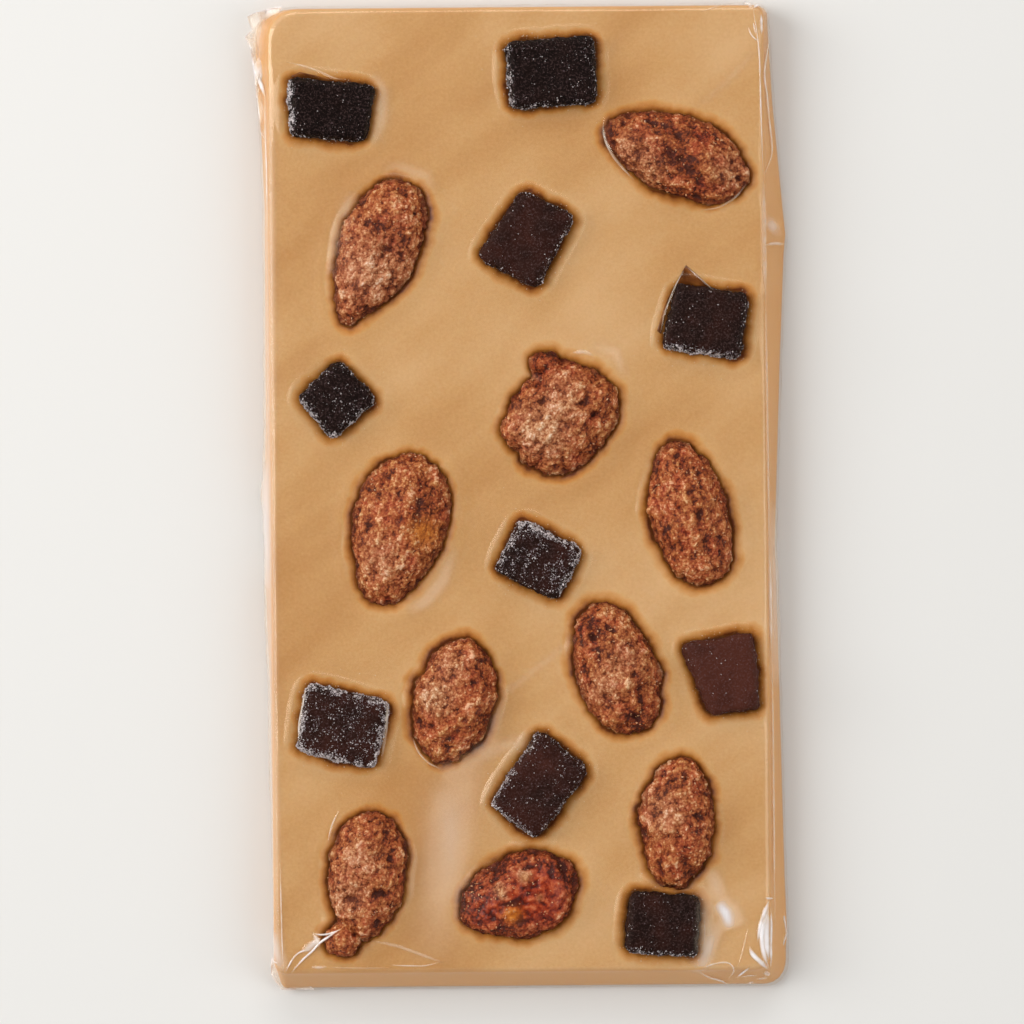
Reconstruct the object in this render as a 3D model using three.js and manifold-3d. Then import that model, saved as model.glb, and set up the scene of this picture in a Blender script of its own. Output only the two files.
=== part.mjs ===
// A flat bar of caramelised white chocolate with ten sugar-crusted almonds and ten sugared fruit
// jellies pressed into its face, wrapped in clear film. Millimetres; X runs across the bar, Y along
// it and +Z up out of its face. The film rests on z = 0, centred under the wrapped bar.
import * as THREE from "three";
import { RoundedBoxGeometry } from "three/addons/geometries/RoundedBoxGeometry.js";
import { mergeVertices } from "three/addons/utils/BufferGeometryUtils.js";
import Module from "manifold-3d";

// ---- driving sizes ----

// What stands between any two pieces, and what a shape with fewer sides is grown by beyond it
const GAP = 0.35;
const COARSE = 0.25;

// The slab: its foot is wider than its face, because its sides slope
const BAR = {
  x: 0.4,
  footWidth: 79,
  footLength: 154.6,
  height: 7.2,
  sideSlope: 0.8,
  endSlope: 1.8,
  edgeRadius: 1.4,
  cornerRadius: 4.6,
};

// The film, drawn as thick as it needs to be to stay a solid. It is drawn tight round the slab's
// ends, stands off its long sides where a side's points say so, and clings to each topping.
const FILM = {
  thickness: 0.4,
  edgeRadius: 1.1,
  cornerRadius: 4.9,
  rightSide: [
    { out: 0.45, y: -60 },
    { out: 0.15, y: -32 },
    { out: 0, y: -8 },
    { out: 2.35, y: 40.7 },
    { out: 0.2, y: 68 },
  ],
  leftSide: [{ out: 0.2, y: 52 }, { out: -0.05, y: 28 }, { out: 0.95, y: -2 }, { out: 0, y: -52 }],
  slackAtAlmonds: 0.7,
  flareAtJellies: 1.5,
  seam: { x: 9, width: 0.6, length: 128 },
};
// Flat ears of film that stick out at three corners, each by its outline
const EARS = [
  {
    z: 4,
    outline: [
      [-37, 77.7], [-42.3, 76], [-42, 73.9], [-42.9, 72.8], [-41.8, 68.4],
      [-40.3, 57.7], [-39.6, 51], [-36, 60],
    ],
  },
  {
    z: 1.6,
    outline: [[-39.9, -73.3], [-39.9, -75.4], [-38.4, -77.8], [-33, -77.6], [-35, -71]],
  },
  {
    z: 2,
    outline: [[40.5, -62], [41.7, -69.5], [39.6, -75.6], [35.5, -77.4], [34, -72]],
  },
];

// Almonds: the pointed end looks along turn, in degrees from +X. Lobes are lumps of sugar crust.
const ALMOND = {
  height: 9.2,
  proud: 4,
  detail: 3,
  coarseDetail: 2,
  relief: 0.28,
  wave: 6.5,
  lobeLift: 0.6,
};
const ALMONDS = [
  { at: [25, 53.2], length: 24.2, width: 12.8, turn: 158, point: 0.16 },
  { at: [-22.3, 38.3], length: 25.4, width: 12.4, turn: 246, point: 0.22 },
  {
    at: [6.6, 12], length: 19, width: 16, turn: 236, point: 0.1,
    lobes: [
      { at: [-5, -6], radius: 2.8 },
      { at: [5, -4.4], radius: 3.2 },
      { at: [-5.2, 3], radius: 3.6 },
    ],
  },
  { at: [26.6, -2.7], length: 23.8, width: 12.5, turn: 103, point: 0.12 },
  { at: [-19.2, -5.5], length: 25.6, width: 14.4, turn: 254, point: 0.2 },
  { at: [-10.5, -32.2], length: 20.6, width: 12.9, turn: 256, point: 0.04 },
  { at: [14.8, -27], length: 22.4, width: 12.9, turn: 108, point: 0.12 },
  {
    at: [-24.2, -59], length: 20.8, width: 12.4, turn: 262, point: 0.02,
    lobes: [{ at: [11, -2.9], radius: 2.9 }],
  },
  { at: [-1, -63.1], length: 19.8, width: 13, turn: 200, point: 0.2 },
  {
    at: [24.4, -51.6], length: 21.6, width: 11.2, turn: 86, point: 0.03,
    lobes: [{ at: [0.6, 4.2], radius: 2.4 }],
  },
];

// Jellies: squares cut by hand, each wider at one edge (taper) and sheared (lean), then turned by
// turn degrees and tipped a little about its own X and Y
const JELLY = { height: 6.4, proud: 2.6, edgeRadius: 1, relief: 0.16, wave: 5 };
const JELLIES = [
  { at: [-29.2, 60.8], size: [12.6, 8.8], turn: -5.5, taper: 0.12, lean: -0.03, tip: [0, 5] },
  { at: [5.6, 66.4], size: [13.6, 10.4], turn: 3.5, taper: 0.03, lean: 0.02, tip: [0, 2] },
  { at: [1.7, 40.5], size: [9.8, 12.6], turn: -27.5, taper: -0.18, lean: 0.07, tip: [2, -2] },
  { at: [29.6, 27.1], size: [11.8, 10], turn: -8.5, taper: -0.12, lean: 0.04, tip: [-3, 0] },
  { at: [-28.8, 15.5], size: [9, 8.6], turn: 42.5, taper: -0.1, lean: 0.03, tip: [3, 4] },
  { at: [2.9, -10.1], size: [10.8, 8.8], turn: -25.5, taper: 0.05, lean: 0.05, tip: [0, 3] },
  { at: [32.1, -28.4], size: [9.8, 11.8], turn: 9.5, taper: 0.36, lean: -0.07, tip: [0, 0] },
  { at: [-28.2, -35.9], size: [12.6, 10.4], turn: -13.5, taper: 0.08, lean: -0.03, tip: [1, 2] },
  { at: [2.7, -45.5], size: [9.4, 13.6], turn: -38.5, taper: 0.12, lean: -0.04, tip: [-2, -3] },
  { at: [21.9, -67.3], size: [11.2, 9.4], turn: -4.5, taper: -0.03, lean: 0.01, tip: [-2, 1] },
];

// How finely a lobe's ball is divided
const LOBE_DETAIL = 1;

const COLOURS = {
  chocolate: { color: "#d09e69", roughness: 0.45, metalness: 0 },
  almond: { color: "#8c5032", roughness: 0.75, metalness: 0 },
  jelly: { color: "#3b2a26", roughness: 0.6, metalness: 0 },
  film: { color: "#f4f4f2", roughness: 0.12, metalness: 0, transparent: true, opacity: 0.18 },
};

// ---- heights worked out from them ----

const FOOT_Z = FILM.thickness + GAP;
const FACE_Z = FOOT_Z + BAR.height;

// ---- meshes and solids ----

const wasm = await Module();
wasm.setup();

// A geometry reduced to positions, with the vertices that its faces share merged
function welded(geometry) {
  const bare = geometry.clone();
  bare.deleteAttribute("normal");
  bare.deleteAttribute("uv");
  return mergeVertices(bare, 1e-4);
}

function solidOf(geometry) {
  const { position } = geometry.attributes;
  const mesh = new wasm.Mesh({
    numProp: 3,
    vertProperties: new Float32Array(position.array),
    triVerts: new Uint32Array(geometry.index.array),
  });
  return new wasm.Manifold(mesh);
}

function geometryOf(solid) {
  const { vertProperties, triVerts } = solid.getMesh();
  return new THREE.BufferGeometry()
    .setAttribute("position", new THREE.BufferAttribute(vertProperties, 3))
    .setIndex(new THREE.BufferAttribute(triVerts, 1));
}

// Hands each vertex to move, which changes it in place
function movePoints(geometry, move) {
  const { position } = geometry.attributes;
  const point = new THREE.Vector3();
  for (let i = 0; i < position.count; i++) {
    point.fromBufferAttribute(position, i);
    move(point, i);
    position.setXYZ(i, point.x, point.y, point.z);
  }
  return geometry;
}

// The geometry with each vertex pushed out along its normal, and further to the sides by slack
function grown(geometry, distance, slack = 0) {
  const result = geometry.clone();
  result.computeVertexNormals();
  const { normal } = result.attributes;
  const push = new THREE.Vector3();
  return movePoints(result, (p, i) => {
    push.fromBufferAttribute(normal, i);
    p.addScaledVector(push, distance).addScaledVector(push.setZ(0), slack);
  });
}

function meshOf(name, geometry, look) {
  const mesh = new THREE.Mesh(geometry, new THREE.MeshStandardMaterial(COLOURS[look]));
  mesh.name = name;
  return mesh;
}

// ---- uneven surfaces ----

// A repeatable stream of numbers from 0 to 1
function randomStream(seed) {
  let state = seed;
  return () => {
    state = (state * 1664525 + 1013904223) % 4294967296;
    return state / 4294967296;
  };
}

// A smooth bumpiness of about -1 to 1, the sum of crossed waves of roughly one wavelength
function bumpField(seed, wavelength) {
  const random = randomStream(seed * 7919 + 17);
  const waves = Array.from({ length: 7 }, () => {
    const direction = new THREE.Vector3(random() - 0.5, random() - 0.5, random() - 0.5).normalize();
    const length = wavelength * (0.7 + 0.6 * random());
    return { pitch: direction.multiplyScalar((2 * Math.PI) / length), phase: 2 * Math.PI * random() };
  });
  const share = 1 / Math.sqrt(waves.length);
  return (p) => waves.reduce((sum, wave) => sum + share * Math.sin(p.dot(wave.pitch) + wave.phase), 0);
}

// ---- toppings ----

// A round lump with a bumpy crust
function lump(detail, shape, relief, bumps) {
  const ball = welded(new THREE.IcosahedronGeometry(1, detail));
  return movePoints(ball, (p) => {
    shape(p);
    p.addScaledVector(p.clone().normalize(), relief * bumps(p));
  });
}

// A lying almond about its own centre, pointed end along +X, grown all round by growth and
// further to the sides by slack
function almondSolid({ length, width, point, lobes = [] }, seed, detail, growth, slack) {
  const bumps = bumpField(seed, ALMOND.wave);
  const kernel = lump(detail, (p) => {
    const slimming = 1 - point * p.x - point * Math.max(0, p.x) ** 3;
    const thinning = (1 + slimming) / 2;
    p.multiply(new THREE.Vector3(length, slimming * width, thinning * ALMOND.height)).divideScalar(2);
  }, ALMOND.relief, bumps);
  const pieces = lobes.map(({ at: [x, y], radius }) => {
    const lobe = lump(LOBE_DETAIL, (p) => p.multiplyScalar(radius), ALMOND.relief / 2, bumps);
    return lobe.translate(x, y, ALMOND.lobeLift);
  });
  const solids = [kernel, ...pieces].map((piece) => solidOf(grown(piece, growth, slack)));
  return solids.reduce((whole, solid) => whole.add(solid));
}

// The pockets and tents of the almonds have fewer sides, so they are grown by a little more
const almond = {
  ...ALMOND,
  specs: ALMONDS,
  piece: (spec, seed) => almondSolid(spec, seed, ALMOND.detail, 0),
  pocket: (spec, seed) => almondSolid(spec, seed, ALMOND.coarseDetail, GAP + COARSE),
  tent: (spec, seed, layer) =>
    almondSolid(spec, seed, ALMOND.coarseDetail, GAP + COARSE + layer, FILM.slackAtAlmonds),
};

// Gives a block the taper and lean of a hand-cut square
function skewed(block, { size: [, width], taper, lean }) {
  return movePoints(block, (p) => {
    p.x = p.x * (1 + (taper * p.y) / width) + lean * p.y;
  });
}

// A cut square of jelly about its own centre, grown all round
function jellySolid(spec, seed, growth) {
  const bumps = bumpField(seed, JELLY.wave);
  const [length, width] = spec.size;
  const square = new RoundedBoxGeometry(length, width, JELLY.height, 1, JELLY.edgeRadius);
  const block = skewed(welded(square), spec);
  movePoints(block, (p) => p.addScaledVector(p.clone().normalize(), JELLY.relief * bumps(p)));
  return solidOf(grown(block, growth));
}

// The plain block that the film is drawn over, wider at its foot
function jellyTent(spec, layer) {
  const growth = 2 * (GAP + COARSE + layer);
  const [length, width] = spec.size;
  const block = new THREE.BoxGeometry(length + growth, width + growth, JELLY.height + growth);
  movePoints(block, (p) => {
    if (p.z > 0) return;
    p.x += Math.sign(p.x) * FILM.flareAtJellies;
    p.y += Math.sign(p.y) * FILM.flareAtJellies;
  });
  return solidOf(skewed(welded(block), spec));
}

const jelly = {
  ...JELLY,
  specs: JELLIES,
  piece: (spec, seed) => jellySolid(spec, seed, 0),
  pocket: (spec, seed) => jellySolid(spec, seed, GAP),
  tent: (spec, seed, layer) => jellyTent(spec, layer),
};

// Adds one kind of topping, sunk into the face, to a group. Each comes back with its pocket in
// the slab and the two skins of the film over it.
function addToppings(group, name, kind) {
  return kind.specs.map((spec, i) => {
    const seed = i + 1;
    const geometry = geometryOf(kind.piece(spec, seed));
    const mesh = meshOf(`${name}_${String(seed).padStart(2, "0")}`, geometry, name);
    const [tipX, tipY] = spec.tip ?? [0, 0];
    mesh.position.set(...spec.at, FACE_Z + kind.proud - kind.height / 2);
    mesh.rotation.set(...[tipX, tipY, spec.turn].map(THREE.MathUtils.degToRad), "ZYX");
    mesh.updateMatrix();
    group.add(mesh);
    const placed = (solid) => solid.transform(mesh.matrix.elements);
    return {
      pocket: placed(kind.pocket(spec, seed)),
      outerTent: placed(kind.tent(spec, seed, FILM.thickness)),
      innerTent: placed(kind.tent(spec, seed, 0)),
    };
  });
}

// ---- the slab ----

// A block of the given outline with rounded edges, whose sides slope in as they climb
function slopedBlock(outline, foot, height, edge) {
  const block = new THREE.ExtrudeGeometry(outline, {
    depth: height - 2 * edge,
    bevelSize: edge,
    bevelThickness: edge,
    bevelSegments: 2,
    curveSegments: 4,
  });
  block.translate(0, 0, foot + edge);
  movePoints(block, (p) => {
    const climbed = (p.z - foot) / height;
    p.x += BAR.x - Math.sign(p.x) * climbed * BAR.sideSlope;
    p.y -= Math.sign(p.y) * climbed * BAR.endSlope;
  });
  return solidOf(welded(block));
}

// A rectangle with round corners. A side's points stand out from it, in the outline's own order.
function roundedRectangle(width, length, radius, rightSide = [], leftSide = []) {
  const x = width / 2;
  const y = length / 2;
  const shape = new THREE.Shape();
  shape.absarc(x - radius, -y + radius, radius, -Math.PI / 2, 0);
  rightSide.forEach((point) => shape.lineTo(x + point.out, point.y));
  shape.absarc(x - radius, y - radius, radius, 0, Math.PI / 2);
  shape.absarc(-x + radius, y - radius, radius, Math.PI / 2, Math.PI);
  leftSide.forEach((point) => shape.lineTo(-x - point.out, point.y));
  shape.absarc(-x + radius, -y + radius, radius, Math.PI, 1.5 * Math.PI);
  return shape;
}

function slabSolid() {
  const edge = BAR.edgeRadius;
  const outline = roundedRectangle(
    BAR.footWidth - 2 * edge,
    BAR.footLength - 2 * edge,
    BAR.cornerRadius - edge,
  );
  return slopedBlock(outline, FOOT_Z, BAR.height, edge);
}

// ---- the film ----

// The film's outside when layer is its thickness, or its inside when layer is 0
function filmSkin(layer, tents) {
  const spread = 2 * (GAP + layer - FILM.edgeRadius);
  const outline = roundedRectangle(
    BAR.footWidth + spread,
    BAR.footLength + spread,
    FILM.cornerRadius - FILM.edgeRadius,
    FILM.rightSide,
    FILM.leftSide,
  );
  const foot = FOOT_Z - GAP - layer;
  const block = slopedBlock(outline, foot, BAR.height + 2 * (GAP + layer), FILM.edgeRadius);
  return tents.reduce((whole, tent) => whole.add(tent), block);
}

function earSolid({ z, outline }) {
  const shape = new THREE.Shape(outline.map(([x, y]) => new THREE.Vector2(x, y)));
  const ear = new THREE.ExtrudeGeometry(shape, { depth: FILM.thickness, bevelEnabled: false });
  return solidOf(welded(ear.translate(0, 0, z)));
}

function filmSolid(toppings) {
  const { seam, thickness } = FILM;
  const slit = new THREE.BoxGeometry(seam.width, seam.length, 4 * thickness).translate(seam.x, 0, 0);
  const outside = EARS.reduce(
    (whole, ear) => whole.add(earSolid(ear)),
    filmSkin(thickness, toppings.map((t) => t.outerTent)),
  );
  const inside = filmSkin(0, toppings.map((t) => t.innerTent));
  return outside.subtract(inside).subtract(solidOf(welded(slit)));
}

// ---- the wrapped bar ----

const toppingGroup = new THREE.Group();
const toppings = [
  ...addToppings(toppingGroup, "almond", almond),
  ...addToppings(toppingGroup, "jelly", jelly),
];
const bar = toppings.reduce((slab, { pocket }) => slab.subtract(pocket), slabSolid());

const wrappedBar = new THREE.Group();
wrappedBar.add(meshOf("bar", geometryOf(bar), "chocolate"));
wrappedBar.add(toppingGroup);
wrappedBar.add(meshOf("film", geometryOf(filmSolid(toppings)), "film"));

export default wrappedBar;
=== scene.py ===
import math
import random

import bmesh
import bpy
import numpy as np
from mathutils import Matrix, Vector, noise
from mathutils.bvhtree import BVHTree


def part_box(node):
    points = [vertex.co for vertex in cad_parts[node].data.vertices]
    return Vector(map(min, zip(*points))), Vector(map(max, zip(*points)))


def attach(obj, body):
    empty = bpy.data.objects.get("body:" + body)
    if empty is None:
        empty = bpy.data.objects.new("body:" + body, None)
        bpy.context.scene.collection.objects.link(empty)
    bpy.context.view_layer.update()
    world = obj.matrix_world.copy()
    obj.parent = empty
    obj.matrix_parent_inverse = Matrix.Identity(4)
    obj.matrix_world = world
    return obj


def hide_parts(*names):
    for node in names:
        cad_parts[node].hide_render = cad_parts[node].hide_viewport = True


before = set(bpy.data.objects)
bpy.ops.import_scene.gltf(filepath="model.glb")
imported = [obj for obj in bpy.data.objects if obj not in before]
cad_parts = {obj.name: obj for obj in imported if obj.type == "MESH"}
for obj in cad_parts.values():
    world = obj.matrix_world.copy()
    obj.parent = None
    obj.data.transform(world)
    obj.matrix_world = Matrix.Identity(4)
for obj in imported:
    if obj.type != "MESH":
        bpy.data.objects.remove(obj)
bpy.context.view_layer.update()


# ---- Crusted almonds ----
# Whole kernels tumbled in boiling sugar until it crystallised on them. The crust is lumpy and
# wrinkled along the kernel, its heights painted paler and its pits darker, partly as pale and burnt sugar
# and partly as painted light and shade.

MM = 0.001
ALMONDS = [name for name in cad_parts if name.startswith("almond")]
CRUST_VOXEL = 0.17 * MM
# Size of each kind of relief across the surface, and how far it stands out, in millimetres. Where it
# has finer relief on it, "calm" is how much weaker each finer layer is and "step" how much finer;
# "offset" keeps one relief from following another.
CRUST_LUMP = {"size": 3.2, "height": 0.5, "calm": 0.8, "step": 2.1}
CRUST_WRINKLE = {"size": 1.3, "height": 0.27, "calm": 0.7, "step": 2.2, "stretch": 0.66}
CRUST_CRUMB = {"size": 1.1, "height": 0.26}
CRUST_GRAIN = {"size": 0.5, "height": 0.16}
CRUST_FINE = {"size": 0.3, "height": 0.1}
CRUST_PIT = {"size": 1.7, "height": 1.1, "threshold": 0.34, "offset": Vector((40, 7, 3))}
# Layers of finer and finer relief
OCTAVES = 3
# A grain falls off to its neighbours within its own size over this
GRAIN_FALL = 1.25
# Parts the numbers drawn for neighbouring grains
GRAIN_SPREAD = 7.3
# How much of the relief is lost where the sugar is golden, and where it melted to a glaze
SMOOTHED = {"golden": 0.7, "glaze": 0.6}
# The relief fades out this far down the buried part of a kernel
CRUST_BURIED = 1.5 * MM
# Painted shade on a kernel's flank: the crust darkens towards the face, up to this far above it, in
# millimetres
CRUST_SHADE_HEIGHT = 2.2
# No patch further than this from a kernel's middle reaches it, in millimetres
PATCH_RANGE = 18

# Where the crust differs from the rest: centre and radius in millimetres, then how pale, dark,
# golden or ruddy it is there, and how far it is raised, in millimetres
CRUST_PATCHES = [
    ((25.0, 53.0), 12.0, {"dark": 0.3}),
    ((22.4, -3.0), 12.0, {"dark": 0.12}),
    ((-0.5, -62.5), 12.0, {"dark": 0.65, "ruddy": 0.4}),
    ((-22.8, 37.5), 8.0, {"pale": 0.12, "ruddy": 0.3}),
    ((17.5, 53.5), 3.0, {"pale": 0.35, "ruddy": 0.4}),
    ((21.0, 51.2), 3.2, {"pale": 0.3}),
    ((33.0, 50.6), 2.6, {"pale": 0.35}),
    ((19.6, 53.6), 1.1, {"dark": 0.9, "raised": -0.5}),
    ((22.5, 57.6), 2.6, {"dark": 0.25}),
    ((27.5, 55.4), 3.2, {"dark": 0.2}),
    ((25.6, 52.4), 1.5, {"dark": 0.9, "raised": -0.5}),
    ((28.6, 48.0), 1.2, {"dark": 0.8, "raised": -0.5}),
    ((-25.5, 34.0), 4.0, {"pale": 0.3, "ruddy": 0.5}),
    ((-20.6, 41.0), 3.0, {"dark": 0.3}),
    ((-21.6, 36.0), 4.0, {"pale": 0.25}),
    ((3.8, 10.4), 3.6, {"pale": 0.75}),
    ((7.0, 15.4), 3.0, {"pale": 0.35}),
    ((6.0, 20.0), 3.4, {"ruddy": 0.5}),
    ((4.4, 21.9), 2.1, {"dark": 1.0, "raised": 0.5}),
    ((2.9, 18.8), 1.3, {"dark": 1.0, "raised": -1.6}),
    ((-0.6, 14.6), 1.6, {"dark": 0.7, "raised": 0.4}),
    ((-15.0, -5.4), 2.0, {"golden": 1.1}),
    ((-21.6, -9.8), 3.0, {"pale": 0.3, "ruddy": 0.3}),
    ((-13.2, -2.0), 2.6, {"dark": 0.6}),
    ((-18.0, -3.0), 3.0, {"ruddy": 0.4}),
    ((-13.2, -31.4), 2.2, {"pale": 0.8}),
    ((-11.0, -26.6), 2.4, {"pale": 0.35}),
    ((-6.6, -26.6), 3.2, {"dark": 0.5}),
    ((-8.0, -31.0), 3.0, {"ruddy": 0.5}),
    ((16.0, -26.0), 3.0, {"pale": 0.3}),
    ((12.6, -30.4), 2.4, {"pale": 0.35, "ruddy": 0.3}),
    ((18.4, -36.0), 2.4, {"dark": 0.7}),
    ((10.6, -21.0), 2.0, {"dark": 0.6}),
    ((-25.6, -56.6), 2.6, {"pale": 0.35}),
    ((-24.6, -66.6), 1.9, {"raised": 1.0}),
    ((-27.4, -62.5), 2.6, {"pale": 0.5, "ruddy": 0.5}),
    ((-1.6, -65.6), 1.3, {"golden": 1.1}),
    ((2.4, -62.6), 4.2, {"ruddy": 1.4, "dark": -0.5}),
    # Painted highlights: small white glints on the glaze, given as pale patches
    ((-3.6, -61.5), 0.8, {"pale": 1.3}),
    ((-3.2, -62.6), 0.6, {"pale": 1.0}),
    ((0.3, -59.6), 0.9, {"pale": 1.3}),
    ((2.6, -62.9), 0.6, {"pale": 0.7}),
    ((-6.0, -65.0), 4.0, {"ruddy": 0.6, "dark": 0.3}),
    ((5.6, -57.4), 2.6, {"dark": 0.5}),
    ((22.2, -49.6), 3.0, {"pale": 0.35}),
    ((19.4, -46.8), 1.9, {"raised": 0.55}),
    ((25.6, -55.0), 2.4, {"ruddy": 0.6}),
    ((26.0, -59.6), 1.2, {"dark": 0.9, "raised": -0.6}),
    ((18.4, -53.0), 1.6, {"dark": 0.7}),
]


def clamped(value):
    """A value kept between 0 and 1."""
    return min(1.0, max(0.0, value))


def new_object(name, bm):
    """A finished bmesh as a new object."""
    mesh = bpy.data.meshes.new(name)
    bm.to_mesh(mesh)
    bm.free()
    made = bpy.data.objects.new(name, mesh)
    bpy.context.scene.collection.objects.link(made)
    return made


def merged_copy(node, name):
    """The node's own mesh with its loose triangles merged, as a new object."""
    bm = bmesh.new()
    bm.from_mesh(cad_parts[node].data)
    bmesh.ops.remove_doubles(bm, verts=bm.verts, dist=0.001 * MM)
    return new_object(name, bm)


def remesh(piece, voxel, passes):
    """Gives the piece an even, fine mesh, relaxes it, and applies its modifiers."""
    even = piece.modifiers.new("even", "REMESH")
    even.mode = "VOXEL"
    even.voxel_size = voxel
    relax = piece.modifiers.new("relax", "SMOOTH")
    relax.iterations = passes
    bpy.context.view_layer.update()
    mesh = bpy.data.meshes.new_from_object(piece.evaluated_get(bpy.context.evaluated_depsgraph_get()))
    piece.modifiers.clear()
    piece.data = mesh


def finish_surface(mesh, values, places=None):
    """Moves the vertices to their places, stores a number at each one under each name, for the
    material to read, and shades the mesh smooth."""
    if places:
        mesh.vertices.foreach_set("co", np.array(places, np.float32).ravel())
    for name, row in values.items():
        layer = mesh.attributes.new(name, "FLOAT", "POINT")
        layer.data.foreach_set("value", np.asarray(row, np.float32))
    mesh.polygons.foreach_set("use_smooth", [True] * len(mesh.polygons))
    mesh.update()


def patch_share(spot, patches, key):
    """How much of one kind of patch reaches a point of the crust."""
    share = 0.0
    for centre, radius, change in patches:
        if key in change:
            reach = (Vector(centre) - spot.xy).length / radius
            share += change[key] * math.exp(-(reach**2))
    return share


def lumps(spot, relief):
    """Irregular relief of one size, with finer relief on it."""
    place = spot / relief["size"] + relief.get("offset", Vector((0, 0, 0)))
    return noise.fractal(place, relief["calm"], relief["step"], OCTAVES)


def dome(spot, relief):
    """A rounded grain in each cell of a foam, from 0 between grains to 1 on top, and the cell's place."""
    distances, places = noise.voronoi(spot / relief["size"])
    return max(0.0, 1 - (distances[0] * GRAIN_FALL) ** 2), places[0]


def crusted(node):
    piece = merged_copy(node, node + "_crust")
    smooth = piece.modifiers.new("smooth", "SUBSURF")
    smooth.levels = smooth.render_levels = 2
    remesh(piece, CRUST_VOXEL, 3)
    mesh = piece.data
    rest = np.array([v.co for v in mesh.vertices])
    along = Vector(np.linalg.eigh(np.cov(rest.T))[1][:, 2])
    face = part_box("bar")[1].z
    centre = rest.mean(0)[:2] / MM
    near_by = [patch for patch in CRUST_PATCHES if math.dist(patch[0], centre) < PATCH_RANGE]
    values = {name: [] for name in ("relief", "grain", "flank", "pale", "dark", "golden", "ruddy")}
    moved = []
    for vertex in mesh.vertices:
        spot = vertex.co / MM
        buried = (face - vertex.co.z) / CRUST_BURIED
        if buried > 1:
            moved.append(vertex.co.copy())
            for row in values.values():
                row.append(0.5)
            continue
        drawn_out = spot - along * (spot.dot(along) * CRUST_WRINKLE["stretch"])
        golden = min(1.0, patch_share(spot, near_by, "golden"))
        lump = lumps(spot, CRUST_LUMP)
        wrinkle = lumps(drawn_out, CRUST_WRINKLE)
        crumb, _ = dome(spot, CRUST_CRUMB)
        grain, cell = dome(spot, CRUST_GRAIN)
        fine, _ = dome(spot, CRUST_FINE)
        hollow = noise.noise(spot / CRUST_PIT["size"] + CRUST_PIT["offset"])
        pit = max(0.0, hollow - CRUST_PIT["threshold"])
        # Only the ruddiest sugar has melted to a glaze
        glaze = clamped(2 * patch_share(spot, near_by, "ruddy") - 1.1)
        kept = (1 - SMOOTHED["golden"] * golden) * (1 - SMOOTHED["glaze"] * glaze)
        small = (
            wrinkle * CRUST_WRINKLE["height"]
            + (crumb - 0.5) * CRUST_CRUMB["height"]
            + (grain - 0.4) * CRUST_GRAIN["height"]
            + (fine - 0.4) * CRUST_FINE["height"]
            - pit * CRUST_PIT["height"]
        )
        raised = patch_share(spot, near_by, "raised")
        kept *= 1 - max(0.0, buried)
        height = kept * (small + lump * CRUST_LUMP["height"]) + raised
        moved.append(vertex.co + vertex.normal * (height * MM))
        # The relief also sets the colour: paler on the heights and darker in the hollows, partly painted
        # light and shade
        values["relief"].append(0.5 + small + 0.2 * lump * CRUST_LUMP["height"])
        values["grain"].append(0.5 + 0.5 * noise.cell(cell * GRAIN_SPREAD))
        values["flank"].append(clamped((vertex.co.z - face) / MM / CRUST_SHADE_HEIGHT))
        values["golden"].append(golden)
        for name in ("pale", "dark", "ruddy"):
            values[name].append(clamped(patch_share(spot, near_by, name)))
    finish_surface(mesh, values, moved)
    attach(piece, "root")
    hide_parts(node)
    return piece


def linear(hex_code):
    """An sRGB hex colour as the linear values that shaders use."""
    parts = [int(hex_code[i:i + 2], 16) / 255 for i in (1, 3, 5)]
    return [p / 12.92 if p <= 0.04045 else ((p + 0.055) / 1.055) ** 2.4 for p in parts] + [1.0]


def add_node(tree, kind, inputs=None, stops=None, **settings):
    """Adds a node with its settings, its inputs as values, nodes or outputs, and a ramp's stops."""
    made = tree.nodes.new("ShaderNode" + kind)
    for name, value in settings.items():
        setattr(made, name, value)
    for name, value in (inputs or {}).items():
        if isinstance(value, bpy.types.Node):
            value = next(output for output in value.outputs if output.enabled)
        if isinstance(value, bpy.types.NodeSocket):
            tree.links.new(value, made.inputs[name])
        else:
            made.inputs[name].default_value = value
    for i, (position, colour) in enumerate(stops or []):
        elements = made.color_ramp.elements
        element = elements[i] if i < 2 else elements.new(position)
        element.position = position
        element.color = linear(colour)
    return made


def new_material(name, surface_of):
    """A material whose surface a function makes in its node tree."""
    material = bpy.data.materials.new(name)
    material.use_nodes = True
    tree = material.node_tree
    tree.nodes.clear()
    add_node(tree, "OutputMaterial", {"Surface": surface_of(tree)})
    return material


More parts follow.
